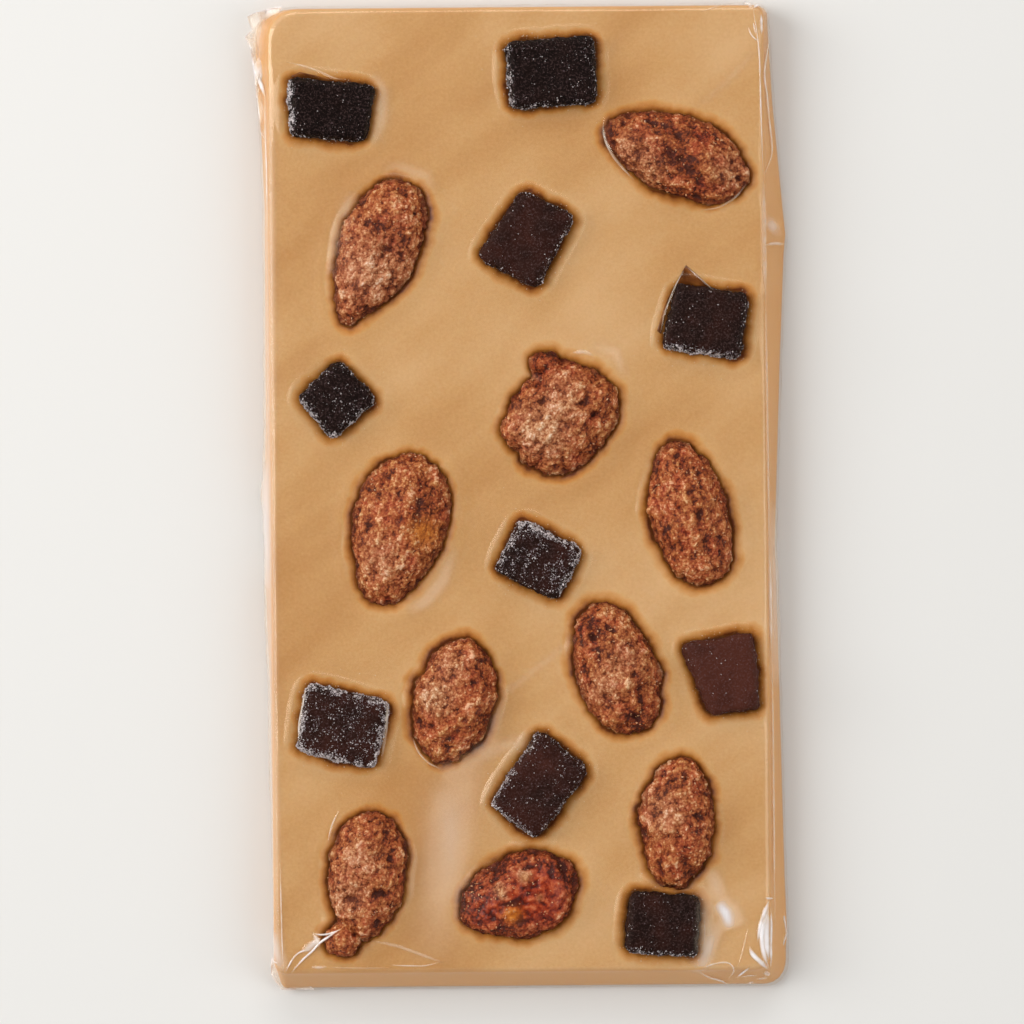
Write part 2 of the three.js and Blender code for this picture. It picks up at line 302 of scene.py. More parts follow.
def crystallised_sugar(tree):
    """Cooked sugar that has grained on the nut: rough, dull and red-brown, painted paler on its peaks
    and darker in its crevices, partly as burnt sugar and partly as painted light and shade, and
    nearly black round the foot as painted shade."""
    place = add_node(tree, "TexCoord").outputs["Object"]
    value = {
        name: add_node(tree, "Attribute", attribute_name=name).outputs["Fac"]
        for name in ("relief", "grain", "flank", "pale", "dark", "golden", "ruddy")
    }
    patches = add_node(tree, "TexNoise", {
        "Vector": place, "Scale": 1 / (2.6 * MM), "Detail": 4.0, "Roughness": 0.65,
    })
    speckle = add_node(tree, "TexNoise", {
        "Vector": place, "Scale": 1 / (0.36 * MM), "Detail": 3.0, "Roughness": 0.8,
    })
    # Sugar grains, each of its own brightness, with dark joints between them, and fine speckle
    grains = add_node(tree, "TexVoronoi", {"Vector": place, "Scale": 1 / (0.36 * MM)})
    uneven = -0.53
    for part, weight in (
        (grains.outputs["Color"], 0.42), (grains.outputs["Distance"], -0.24), (speckle, 0.8),
    ):
        uneven = add_node(tree, "Math", {0: part, 1: weight, 2: uneven}, operation="MULTIPLY_ADD")
    # Where the sugar melted to a glaze its grain is fainter
    melted = add_node(tree, "MapRange", {
        "Value": value["ruddy"], "From Min": 0.5, "From Max": 1.0, "To Min": 1.0, "To Max": 0.35,
    })
    uneven = add_node(tree, "Math", {0: melted, 1: uneven}, operation="MULTIPLY")
    # How light the sugar is: high, pale-grained and unburnt places are the lightest and low ones darker,
    # partly as painted light and shade
    level = add_node(tree, "Math", {0: uneven, 1: -0.64}, operation="ADD")
    for part, weight in (
        (value["grain"], 0.2), (patches, 1.1), (value["relief"], 1.0), (value["dark"], -0.36),
    ):
        level = add_node(tree, "Math", {0: part, 1: weight, 2: level}, operation="MULTIPLY_ADD")
    tawny, russet, cream, amber = (
        add_node(tree, "ValToRGB", {"Fac": level}, stops=stops) for stops in (
            [(0.1, "#471502"), (0.28, "#78300c"), (0.45, "#994a1e"), (0.6, "#ae6130"),
             (0.78, "#c5824a"), (0.97, "#e8b884")],
            [(0.1, "#430b02"), (0.28, "#772009"), (0.45, "#993516"), (0.6, "#b04d28"),
             (0.78, "#c56f48"), (0.97, "#e9ac88")],
            [(0.1, "#73361a"), (0.33, "#a8653a"), (0.55, "#cd9568"), (0.75, "#e8c19a"),
             (0.95, "#fae6d0")],
            [(0.1, "#8f430a"), (0.45, "#c06a1c"), (0.7, "#d98b3c"), (0.95, "#f0bd7c")],
        )
    )
    which = add_node(tree, "MapRange", {
        "Value": patches, "From Min": 0.46, "From Max": 0.64, "To Max": 0.75,
    })
    redder = add_node(tree, "Math", {0: which, 1: value["ruddy"]}, operation="MAXIMUM")
    # Painted shade: the crust darkens to nearly black down the flank towards the chocolate, round the
    # kernel's foot
    foot = add_node(tree, "MapRange", {
        "Value": value["flank"], "From Max": 0.6, "To Min": 0.7, "To Max": 0.0,
    })
    crust = tawny
    for share, over in (
        (redder, russet), (value["pale"], cream), (value["golden"], amber), (foot, linear("#4a1b0a")),
    ):
        crust = add_node(tree, "Mix", {0: share, 6: crust, 7: over}, data_type="RGBA")
    bump = add_node(tree, "Bump", {"Height": uneven, "Strength": 1.0, "Distance": 0.2 * MM})
    glazed = add_node(tree, "MapRange", {
        "Value": value["ruddy"], "From Min": 0.5, "From Max": 1.0, "To Min": 0.55, "To Max": 0.3,
    })
    return add_node(tree, "BsdfPrincipled", {
        "Base Color": crust, "Roughness": glazed, "IOR": 1.5,
        "Specular IOR Level": 0.25, "Normal": bump,
    })


crust_material = new_material("crystallised_sugar", crystallised_sugar)
almonds = [crusted(node) for node in ALMONDS]
for almond in almonds:
    almond.data.materials.append(crust_material)


# ---- Fruit jellies ----
# Squares of dark fruit jelly cut from a set sheet with a knife: flat faces, slightly rounded
# edges and a dull skin, rolled in sugar that has partly dissolved on the top.

JELLIES = [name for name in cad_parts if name.startswith("jelly")]
JELLY_VOXEL = 0.22 * MM
JELLY_EDGE = 0.2 * MM
JELLY_DENT = {"size": 3.2, "height": 0.14, "calm": 0.8, "step": 2.0}
JELLY_PEBBLE = {"size": 0.9, "height": 0.1, "calm": 0.6, "step": 2.2}
JELLY_GRIT = {"size": 0.36, "height": 0.07}
JELLY_RAGGED = {"size": 1.4, "height": 0.32, "calm": 0.7, "step": 2.2, "offset": Vector((5, 8, 1))}
# How light and red each square is, from nearly black to a purple brown
JELLY_TONES = {
    "jelly_01": 0.0, "jelly_02": 0.05, "jelly_03": 0.55, "jelly_04": 0.35, "jelly_05": 0.2,
    "jelly_06": 0.45, "jelly_07": 1.0, "jelly_08": 0.55, "jelly_09": 0.6, "jelly_10": 0.4,
}
# How thickly each square is sugared: on the sides that face left, right, up the bar and down the
# bar, and on its top
SUGARING = {
    "jelly_01": (1.2, 0.15, 0.1, 0.35, 0.06),
    "jelly_02": (0.7, 0.3, 0.1, 0.5, 0.14),
    "jelly_03": (0.2, 0.6, 0.2, 0.3, 0.06),
    "jelly_04": (0.2, 0.3, 0.1, 1.0, 0.07),
    "jelly_05": (0.6, 0.7, 0.1, 0.9, 0.2),
    "jelly_06": (0.5, 0.9, 1.0, 0.2, 0.42),
    "jelly_07": (0.05, 0.1, 0.1, 0.1, 0.06),
    "jelly_08": (0.9, 1.0, 0.8, 0.9, 0.34),
    "jelly_09": (0.8, 0.5, 0.3, 0.5, 0.15),
    "jelly_10": (0.1, 0.1, 0.05, 0.7, 0.07),
}
*SIDES, TOP = [Vector(way) for way in ((-1, 0, 0), (1, 0, 0), (0, 1, 0), (0, -1, 0), (0, 0, 1))]
# A face that looks up more than this belongs to the top
TOP_SLOPE = 0.6
# The sugar that has crept over the rim of the top: how far in it reaches and how much of it there is
RIM_REACH = 0.6 * MM
RIM_DEPTH = Vector((0, 0, 0.7)) * MM
RIM_SUGAR = 0.5
# The sugar lies in clumps: their size, how much they differ, and how much sugar they hold
CLUMP = {"size": 1.0 * MM, "contrast": 1.6, "middle": 0.75}
jelly_trees = {}


def mesh_tree(objects):
    """One search tree over several objects' meshes."""
    bm = bmesh.new()
    for item in objects:
        bm.from_mesh(item.data)
    tree = BVHTree.FromBMesh(bm)
    bm.free()
    return tree


def facing_share(node, normal):
    """How thickly a square is sugared on a face of it, by where the face looks."""
    ways = zip(SUGARING[node], (*SIDES, TOP))
    return sum(sugar * max(0.0, normal.dot(way)) ** 2 for sugar, way in ways)


def rim_share(node, point):
    """How much sugar from the sides has crept over the rim onto the top of a square at a point."""
    share = 0.0
    for way in SIDES:
        _, normal, _, away = jelly_trees[node].ray_cast(point - RIM_DEPTH, way, 3 * RIM_REACH)
        if normal:
            share = max(share, facing_share(node, normal) * math.exp(-((away / RIM_REACH) ** 2)))
    return share


def sugar_share(node, normal, point):
    """How thickly a square is sugared at a point, in clumps."""
    share = facing_share(node, normal)
    if normal.z > TOP_SLOPE:
        share += RIM_SUGAR * rim_share(node, point)
    return share * clamped(noise.noise(point / CLUMP["size"]) * CLUMP["contrast"] + CLUMP["middle"])


def sugared_jelly(node):
    piece = merged_copy(node, node + "_square")
    edge = piece.modifiers.new("edge", "BEVEL")
    edge.width = JELLY_EDGE
    edge.segments = 1
    remesh(piece, JELLY_VOXEL, 2)
    jelly_trees[node] = mesh_tree([piece])
    mesh = piece.data
    moved, frost = [], []
    for vertex in mesh.vertices:
        spot = vertex.co / MM
        share = sugar_share(node, vertex.normal, vertex.co)
        grit, _ = dome(spot, JELLY_GRIT)
        # Grit is coarser where sugar lies, and only the cut sides are ragged
        height = (
            lumps(spot, JELLY_DENT) * JELLY_DENT["height"]
            + lumps(spot, JELLY_PEBBLE) * JELLY_PEBBLE["height"]
            + grit * JELLY_GRIT["height"] * (0.5 + 4 * share)
            + lumps(spot, JELLY_RAGGED) * JELLY_RAGGED["height"] * (1 - vertex.normal.z**2)
        )
        moved.append(vertex.co + vertex.normal * (height * MM))
        frost.append(share)
    finish_surface(mesh, {"frost": frost, "tone": [JELLY_TONES[node]] * len(moved)}, moved)
    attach(piece, "root")
    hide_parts(node)
    return piece


def fruit_jelly(tree):
    """Set fruit jelly, nearly black with a purple-brown cast and redder where it is thin. Its cut
    skin is dull, with a fine grain of half dissolved sugar."""
    place = add_node(tree, "TexCoord").outputs["Object"]
    tone = add_node(tree, "Attribute", attribute_name="tone").outputs["Fac"]
    frost = add_node(tree, "Attribute", attribute_name="frost").outputs["Fac"]
    cloudy = add_node(tree, "TexNoise", {
        "Vector": place, "Scale": 1 / (4.5 * MM), "Detail": 3.0, "Roughness": 0.6,
    })
    depth = add_node(tree, "Math", {0: cloudy, 1: 0.9, 2: -0.45}, operation="MULTIPLY_ADD")
    shade = add_node(tree, "Math", {0: depth, 1: tone}, operation="ADD")
    colour = add_node(tree, "ValToRGB", {"Fac": shade}, stops=[
        (0.0, "#0d0402"), (0.35, "#1c0c07"), (0.65, "#31150d"), (1.0, "#4a241a"),
    ])
    grain = add_node(tree, "TexNoise", {
        "Vector": place, "Scale": 1 / (0.34 * MM), "Detail": 3.0, "Roughness": 0.8,
    })
    velvet = add_node(tree, "MapRange", {
        "Value": grain, "From Min": 0.5, "From Max": 0.74, "To Max": 0.5,
    })
    skin = add_node(tree, "Mix", {0: velvet, 6: colour, 7: linear("#6b5250")}, data_type="RGBA")
    # Sugar lies where the grain rises above what the share of frost leaves uncovered
    thick = add_node(tree, "Math", {0: frost, 1: 0.8}, operation="POWER", use_clamp=True)
    bare = add_node(tree, "Math", {0: thick, 1: -0.25, 2: 0.7}, operation="MULTIPLY_ADD")
    above = add_node(tree, "Math", {0: grain, 1: bare}, operation="SUBTRACT")
    covered = add_node(tree, "MapRange", {"Value": above, "From Max": 0.11})
    # A thin frost is clear enough for the dark jelly to show through it
    heaped = add_node(tree, "MapRange", {"Value": frost, "From Min": 0.2, "From Max": 0.8})
    sugar = add_node(tree, "Mix", {
        0: heaped, 6: linear("#7f727e"), 7: linear("#c8bdbc"),
    }, data_type="RGBA")
    dusted = add_node(tree, "Mix", {0: covered, 6: skin, 7: sugar}, data_type="RGBA")
    bump = add_node(tree, "Bump", {"Height": grain, "Strength": 0.8, "Distance": 0.12 * MM})
    return add_node(tree, "BsdfPrincipled", {
        "Base Color": dusted, "Roughness": 0.55, "IOR": 1.42, "Specular IOR Level": 0.08,
        "Normal": bump,
    })


jelly_material = new_material("fruit_jelly", fruit_jelly)
jellies = [sugared_jelly(node) for node in JELLIES]
for jelly in jellies:
    jelly.data.materials.append(jelly_material)


# ---- The slab ----
# White chocolate whose milk sugar was caramelised, poured into a shallow tray mould with the
# toppings dropped on while it was still liquid. It has set round each one with a narrow moat.

BAR_LOW, BAR_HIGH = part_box("bar")
FACE_Z = BAR_HIGH.z
# The flat face is not in the middle of the foot: the ends and sides of the mould slope differently
FACE_LOW = Vector((-38.3, -73.9)) * MM
FACE_HIGH = Vector((38.1, 75.9)) * MM
FACE_MIDDLE = (FACE_LOW + FACE_HIGH) / 2
FACE_HALF = (FACE_HIGH - FACE_LOW) / 2
SLAB_STEP = 0.42 * MM
SLAB_EDGE = 0.9 * MM
# Radius of each corner of the face, in millimetres, by its side across and along
CORNERS = {(-1, 1): 4.4, (1, 1): 1.3, (-1, -1): 1.6, (1, -1): 2.2}
# Where the wrapped slab's foot ends, in millimetres: along the length, then out, at each side. The
# film is slack beside the upper right almond and jelly and at the middle of the left side.
FOOT = {
    "right": [(-77, 41.3), (-69, 41.9), (-60, 41.6), (-45, 41.3), (-29, 41.0), (-8, 40.5), (20, 41.5),
              (38, 42.3), (41, 42.6), (44, 42.3), (62, 40.7), (77, 39.9)],
    "left": [(-77, 39.1), (-66, 39.2), (-53, 39.6), (-30, 39.9), (-18, 40.3), (-3, 40.4), (0, 40.8),
             (4, 40.4), (12, 40.2), (46, 40.1), (57, 40.5), (64, 41.0), (70, 41.3), (77, 41.3)],
}
FOOT_ENDS = (-77.6, 77.55)
# How far inside the film the chocolate ends
SLAB_INSET = 0.2 * MM
# How much further than straight out a corner's point goes, so that the foot's corner stays small
MITRE = 0.28
# Degrees from ring to ring round the rim, and how many rings the wall below it has
RIM_TURN = 18
WALL_ROWS = 6
# The surface, in millimetres: a moat at each topping, a low shoulder outside it, and slow swells
MOAT = {"width": 0.5, "depth": 0.3}
SHOULDER = {"width": 1.1, "from": 1.9, "height": 0.1}
# How deep the face sinks under a topping, and how far in it reaches that depth, in millimetres
SINK = {"depth": 1.6, "width": 0.6}
SWELL = {"size": 26, "height": 0.12}
RIPPLE = {"size": 7, "height": 0.035}
# How far round a topping the chocolate is darkened, partly stained and partly painted shade, in
# millimetres
STAIN_AND_SHADE_REACH = 2.4


def inner_corner(point):
    """The centre of the rounding of the face's corner that a point lies nearest to."""
    side = (1 if point.x > 0 else -1, 1 if point.y > 0 else -1)
    radius = CORNERS[side] * MM
    return FACE_HALF - Vector((radius, radius)), radius


def round_corner(point):
    """Moves a point of the square face into the round-cornered one of the same size."""
    inner, radius = inner_corner(point)
    over = Vector((abs(point.x) - inner.x, abs(point.y) - inner.y))
    if over.x <= 0 or over.y <= 0:
        return point
    u, v = over / radius
    bent = Vector((u * math.sqrt(1 - v * v / 2), v * math.sqrt(1 - u * u / 2))) * radius
    return Vector((math.copysign(inner.x + bent.x, point.x), math.copysign(inner.y + bent.y, point.y)))


def outward(point):
    """The way out of the face at a point of its rim, longer at the corners."""
    inner, _ = inner_corner(point)
    nearest = Vector((
        max(-inner.x, min(inner.x, point.x)),
        max(-inner.y, min(inner.y, point.y)),
    ))
    way = (point - nearest).normalized()
    return way * (1 + MITRE * (2 * way.x * way.y) ** 2)


def foot_slope(point, inset):
    """How far the foot stands out past the rim's rounding, across and along, at a point of the rim."""
    side = "right" if point.x > 0 else "left"
    along, across = zip(*FOOT[side])
    foot = float(np.interp((point.y + FACE_MIDDLE.y) / MM, along, across)) * MM
    middle = FACE_MIDDLE.x if side == "right" else -FACE_MIDDLE.x
    end = FOOT_ENDS[1] * MM - FACE_MIDDLE.y if point.y > 0 else FACE_MIDDLE.y - FOOT_ENDS[0] * MM
    return Vector((foot - middle, end)) - FACE_HALF - Vector((1, 1)) * (SLAB_EDGE + inset)


def side_rings(depth):
    """How far out and how far down each ring of the slab's side lies, and its share of the slope."""
    turns = [math.radians(angle) for angle in range(RIM_TURN, 91, RIM_TURN)]
    upper = [(SLAB_EDGE * math.sin(a), SLAB_EDGE * (1 - math.cos(a)), 0.0) for a in turns]
    wall = [(SLAB_EDGE, SLAB_EDGE + (depth - 2 * SLAB_EDGE) * row / WALL_ROWS, row / WALL_ROWS)
            for row in range(1, WALL_ROWS + 1)]
    lower = [(SLAB_EDGE * math.cos(a), depth - SLAB_EDGE * (1 - math.sin(a)), 1.0) for a in turns[:-1]]
    return upper + wall + lower


def extrude_rim(bm, rings, place):
    """Extrudes a mesh's rim into rings. Each new point is placed from the rim's own point."""
    order = {face: i for i, face in enumerate(bm.faces)}
    ring = [edge for edge in bm.edges if edge.is_boundary]
    rims = {vertex: vertex.co.copy() for edge in ring for vertex in edge.verts}
    for values in rings:
        made = bmesh.ops.extrude_edge_only(bm, edges=ring)["geom"]
        ring = [item for item in made if isinstance(item, bmesh.types.BMEdge)]
        last_rims, rims = rims, {}
        for vertex in (item for item in made if isinstance(item, bmesh.types.BMVert)):
            last = next(v for e in vertex.link_edges for v in e.verts if v in last_rims)
            rims[vertex] = last_rims[last]
            vertex.co = place(last_rims[last], *values)
        for edge in ring:
            order[edge.link_faces[0]] = len(order)
    bmesh.ops.holes_fill(bm, edges=ring, sides=0)
    bmesh.ops.recalc_face_normals(bm, faces=bm.faces)
    # A ring's faces are made in no fixed order, so they are put in the order of the rim
    bm.faces.sort(key=lambda face: order.get(face, len(order)))


def slab_side(rim, out, down, share):
    way = outward(rim.xy)
    slope = foot_slope(rim, SLAB_INSET) * share
    return Vector((rim.x + way.x * (out + slope.x), rim.y + way.y * (out + slope.y), -down))


def face_grid(bm, step):
    """A grid over the face, with its corners rounded, about the middle of the face."""
    columns = round(2 * FACE_HALF.x / step)
    rows = round(2 * FACE_HALF.y / step)
    bmesh.ops.create_grid(bm, x_segments=columns, y_segments=rows, size=1)
    for vertex in bm.verts:
        flat = Vector((vertex.co.x * FACE_HALF.x, vertex.co.y * FACE_HALF.y))
        vertex.co.xy = round_corner(flat)
    return columns + 1, rows + 1


def set_slab():
    bm = bmesh.new()
    face_grid(bm, SLAB_STEP)
    extrude_rim(bm, side_rings(FACE_Z - BAR_LOW.z), slab_side)
    bmesh.ops.translate(bm, verts=bm.verts, vec=(*FACE_MIDDLE, FACE_Z))

    toppings = mesh_tree(almonds + jellies)
    near = []
    for vertex in bm.verts:
        touch, normal, _, away = toppings.find_nearest(vertex.co)
        distance = math.copysign(away, (vertex.co - touch).dot(normal)) / MM
        near.append(distance)
        if vertex.co.z < FACE_Z - SLAB_EDGE / 2:
            continue
        spot = vertex.co / MM
        swell = noise.noise(spot / SWELL["size"]) * SWELL["height"]
        ripple = noise.noise(spot / RIPPLE["size"]) * RIPPLE["height"]
        beyond = max(0.0, distance)
        moat = MOAT["depth"] * math.exp(-((beyond / MOAT["width"]) ** 2))
        shoulder = SHOULDER["height"] * math.exp(-(((beyond - SHOULDER["from"]) / SHOULDER["width"]) ** 2))
        sunk = clamped(-distance / SINK["width"]) * SINK["depth"]
        vertex.co.z += (swell + ripple + shoulder - moat - sunk) * MM

    piece = new_object("slab", bm)
    finish_surface(piece.data, {"near": near})
    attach(piece, "root")
    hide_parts("bar")
    return piece


def caramelised_chocolate(tree):
    """White chocolate browned by slow heat, set against a smooth mould and under film: satin, waxy,
    slightly translucent, and darker round each topping, partly stained where the sugar of a topping
    has drawn moisture and partly painted shade where the topping meets the chocolate."""
    place = add_node(tree, "TexCoord").outputs["Object"]
    near = add_node(tree, "Attribute", attribute_name="near").outputs["Fac"]
    clouds = add_node(tree, "TexNoise", {
        "Vector": place, "Scale": 1 / (30 * MM), "Detail": 2.0, "Roughness": 0.5,
    })
    # The way it flowed shows as faint slanting streaks
    flow = add_node(tree, "Mapping", {
        "Vector": place, "Rotation": (0, 0, math.radians(38)), "Scale": (4.0, 1.0, 1.0),
    }, vector_type="TEXTURE")
    streaks = add_node(tree, "TexNoise", {
        "Vector": flow, "Scale": 1 / (7 * MM), "Detail": 3.0, "Roughness": 0.5,
    })
    specks = add_node(tree, "TexNoise", {
        "Vector": place, "Scale": 1 / (0.45 * MM), "Detail": 2.0, "Roughness": 0.7,
    })
    varied = -0.43
    for part, weight in ((clouds, 1.0), (streaks, 0.5), (specks, 0.36)):
        varied = add_node(tree, "Math", {0: part, 1: weight, 2: varied}, operation="MULTIPLY_ADD")
    base = add_node(tree, "ValToRGB", {"Fac": varied}, stops=[
        (0.25, "#c08b52"), (0.5, "#ce9e66"), (0.75, "#d9ae7b"),
    ])
    mottle = add_node(tree, "TexNoise", {
        "Vector": place, "Scale": 1 / (6 * MM), "Detail": 4.0, "Roughness": 0.6,
    })
    # The stain and its painted shade reach further at some places than at others
    reach = add_node(tree, "Math", {0: mottle, 1: 3.0, 2: near}, operation="MULTIPLY_ADD")
    stain_and_shade_share = add_node(tree, "MapRange", {"Value": reach, "From Min": 1.5, "From Max": 1.5 + STAIN_AND_SHADE_REACH})
    stain_and_shade = add_node(tree, "ValToRGB", {"Fac": stain_and_shade_share}, stops=[
        (0.0, "#6c320e"), (0.12, "#9e5c20"), (0.3, "#bd7b34"), (0.52, "#cd9455"), (0.78, "#d8a870"),
        (1.0, "#ffffff"),
    ])
    colour = add_node(tree, "Mix", {0: 1.0, 6: base, 7: stain_and_shade}, data_type="RGBA", blend_type="DARKEN")
    # The sides, found by their slope, are given a deeper orange than the face
    slope = add_node(tree, "SeparateXYZ", {0: add_node(tree, "NewGeometry").outputs["Normal"]})
    sideways = add_node(tree, "MapRange", {
        "Value": slope.outputs["Z"], "From Min": 0.4, "From Max": 0.9, "To Min": 0.85, "To Max": 0.0,
    })
    walled = add_node(tree, "Mix", {0: sideways, 6: colour, 7: linear("#d8984e")}, data_type="RGBA")
    return add_node(tree, "BsdfPrincipled", {
        "Base Color": walled, "Roughness": 0.42, "IOR": 1.45,
        "Subsurface Weight": 0.25, "Subsurface Radius": (1.0, 0.5, 0.2),
        "Subsurface Scale": 1.5 * MM,
    })


slab = set_slab()
slab.data.materials.append(new_material("caramelised_chocolate", caramelised_chocolate))


# ---- Painted shade by the jellies ----
# Painted shade: thin, glassy brown tongues laid on the slab where the film is drawn tight from a
# jelly's corner down to the face, darkening it there. Each lies on the slab against its jelly.

# The view from above, by which what lies on the slab and on the film is placed
VIEW_CENTRE = Vector((-1.2, -2.5)) * MM
VIEW_WIDTH = 160.8 * MM
VIEW_DISTANCE = 900 * MM
VIEW_TURN = math.radians(-0.5)
PICTURE = 1024
DOWN = Vector((0, 0, -1))
SHADE_TONGUE_THICKNESS = 0.22 * MM
SHADE_TONGUE_RIM = 0.01 * MM
SHADE_TONGUE_PASSES = 3
# Outline of each painted shade tongue in the 1024 x 1024 picture
SHADE_TONGUES = {
    "upper_right": [(686, 265), (700, 277), (713, 290), (700, 292), (676, 285), (668, 303), (661, 334),
                    (657, 331), (664, 307), (673, 288)],
    "lower_left": [(312, 688), (320, 690), (313, 708), (305, 735), (300, 737), (303, 712)],
    "upper_left": [(291, 76), (300, 72), (318, 76), (342, 82), (340, 86), (318, 82), (296, 82)],
}


def at_picture(spot, height):
    """The place, at a height, that a point of the picture shows."""
    scale = VIEW_WIDTH / PICTURE * (1 + (FACE_Z - height) / VIEW_DISTANCE)
    flat = Vector((spot[0] - PICTURE / 2, PICTURE / 2 - spot[1])) * scale
    return Matrix.Rotation(VIEW_TURN, 2) @ flat + VIEW_CENTRE


def lay_shade_tongue(name, outline, ground):
    bm = bmesh.new()
    bm.faces.new([bm.verts.new((*at_picture(spot, FACE_Z), 0)) for spot in outline])
    bmesh.ops.triangulate(bm, faces=bm.faces)
    for _ in range(SHADE_TONGUE_PASSES):
        bmesh.ops.subdivide_edges(bm, edges=bm.edges, cuts=1, use_grid_fill=True)
        bmesh.ops.triangulate(bm, faces=bm.faces)
    for vertex in bm.verts:
        height = ground.ray_cast(Vector((*vertex.co.xy, 2 * FACE_Z)), DOWN)[0].z
        vertex.co.z = height + (SHADE_TONGUE_RIM if vertex.is_boundary else SHADE_TONGUE_THICKNESS)
    for _ in range(SHADE_TONGUE_PASSES):
        bmesh.ops.smooth_vert(bm, verts=[v for v in bm.verts if not v.is_boundary], factor=0.5)
    bmesh.ops.recalc_face_normals(bm, faces=bm.faces)
    piece = new_object("shade_tongue_" + name, bm)
    finish_surface(piece.data, {})
    piece.data.materials.append(shade_tongue_material)
    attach(piece, "root")


def painted_shade_skin(tree):
    """Painted shade: a glassy brown skin, smooth and glossy, in patches of deeper and lighter
    colour."""
    place = add_node(tree, "TexCoord").outputs["Object"]
    thickness = add_node(tree, "TexNoise", {"Vector": place, "Scale": 1 / (2.2 * MM), "Detail": 2.0})
    colour = add_node(tree, "ValToRGB", {"Fac": thickness}, stops=[
        (0.3, "#4e270e"), (0.5, "#6f3d18"), (0.7, "#8f5626"),
    ])
    return add_node(tree, "BsdfPrincipled", {
        "Base Color": colour, "Roughness": 0.25, "IOR": 1.47, "Specular IOR Level": 0.3,
    })


shade_tongue_material = new_material("painted_shade_skin", painted_shade_skin)
slab_tree = mesh_tree([slab])
for name, outline in SHADE_TONGUES.items():
    lay_shade_tongue(name, outline, slab_tree)


# ---- Sugar crystals ----
# The granulated sugar that the jellies were rolled in, and the loose grains that the almonds'
# crust shed. Each crystal is a small block that lies at its own angle.

random.seed(11)
# Smallest and largest crystal in millimetres, the longest for its width, and the most there are on a
# square millimetre
JELLY_CRYSTAL = {"smallest": 0.06, "largest": 0.24, "longest": 1.6, "per_mm2": 26}
CRUST_CRYSTAL = {"smallest": 0.07, "largest": 0.24, "longest": 2.0, "per_mm2": 1.4}
# A crystal's height for its width, how far it stands out, and how far it strays from its place
CRYSTAL_FLAT = 0.8
CRYSTAL_PROUD = 0.25
CRYSTAL_STRAY = 0.16 * MM
# No crystal is laid further than this below the face
CRYSTAL_DEPTH = 0.4 * MM
# Loose grains on the slab: how far from a jelly they thin out, and their share beside it
LOOSE_REACH = 0.9 * MM
LOOSE_SHARE = 0.1
# The areas of an almond that kept their loose grains: size, how much more than half of the almond
# they cover, and how thick the grains lie
CRUST_SUGARED = {"size": 2.2 * MM, "spread": 0.3, "share": 1.8}
# How much more of the sugar on a jelly has dissolved where it is thin
DISSOLVED = 1.4


def any_way():
    """A way picked at random."""
    return Vector([random.uniform(-1, 1) for _ in "xyz"])


def block_corners():
    """The corners of a unit block and the mesh that carries them."""
    bm = bmesh.new()
    bmesh.ops.create_cube(bm, size=1)
    mesh = bpy.data.meshes.new("crystal_block")
    bm.to_mesh(mesh)
    bm.free()
    return [v.co.copy() for v in mesh.vertices], mesh


def scatter(bm, piece, share_of, kind):
    """Lays crystals on the part of a piece that shows, more and larger ones where their share is
    high. Most are small, and each lies at its own angle."""
    corners, block = block_corners()
    for face in piece.data.polygons:
        if face.center.z < FACE_Z - CRYSTAL_DEPTH:
            continue
        share = share_of(face.normal, face.center)
        if random.random() > share * kind["per_mm2"] * face.area / MM**2:
            continue
        size = (kind["smallest"] + (kind["largest"] - kind["smallest"]) * random.random() ** 3) * MM
        size *= 0.5 + 0.5 * min(1.0, share)
        length = size * random.uniform(1, kind["longest"])
        shape = Matrix.Diagonal((length, size, size * CRYSTAL_FLAT, 1))
        turn = Matrix.Rotation(random.uniform(0, math.tau), 4, any_way())
        aside = any_way() * CRYSTAL_STRAY
        aside -= face.normal * aside.dot(face.normal)
        lifted = face.center + aside + face.normal * (CRYSTAL_PROUD * size)
        place = Matrix.Translation(lifted) @ turn @ shape
        block.vertices.foreach_set("co", [value for c in corners for value in place @ c])
        bm.from_mesh(block)
    bpy.data.meshes.remove(block)


def jelly_share(node):
    """Whole crystals lie mostly where the sugar is thick; elsewhere it has dissolved to a frost."""
    return lambda normal, centre: sugar_share(node, normal, centre) ** DISSOLVED


def crust_share(normal, centre):
    area = max(0.0, noise.noise(centre / CRUST_SUGARED["size"]) + CRUST_SUGARED["spread"])
    return area * CRUST_SUGARED["share"] * max(0.0, normal.z)


def crystals(name, pieces_and_shares, kind, material):
    bm = bmesh.new()
    for piece, share_of in pieces_and_shares:
        scatter(bm, piece, share_of, kind)
    piece = new_object(name, bm)
    piece.data.materials.append(material)
    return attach(piece, "root")


def granulated_sugar(name, colour):
    """Sugar crystals: clear blocks that look white, because their many faces reflect and bend the
    light, and glitter where one faces it."""
    return new_material(name, lambda tree: add_node(tree, "BsdfPrincipled", {
        "Base Color": linear(colour), "Roughness": 0.22, "IOR": 1.54,
    }))


jelly_crystals = crystals(
    "jelly_sugar", [(jelly, jelly_share(node)) for jelly, node in zip(jellies, JELLIES)],
    JELLY_CRYSTAL, granulated_sugar("white_sugar", "#cdc3c2"),
)
crust_crystals = crystals(
    "almond_sugar", [(almond, crust_share) for almond in almonds],
    CRUST_CRYSTAL, granulated_sugar("crust_sugar", "#cc9468"),
)
jelly_tree = mesh_tree(jellies)
loose_crystals = crystals(
    "loose_sugar",
    [(slab, lambda _, centre: LOOSE_SHARE * math.exp(-jelly_tree.find_nearest(centre)[3] / LOOSE_REACH))],
    JELLY_CRYSTAL, granulated_sugar("loose_sugar", "#e0c8a8"),
)


# ---- Film ----
# Clear film drawn tight over the face and round the slab, welded in a lap seam on the back and
# folded in at the ends. It clings to the chocolate and stands off it round each topping.

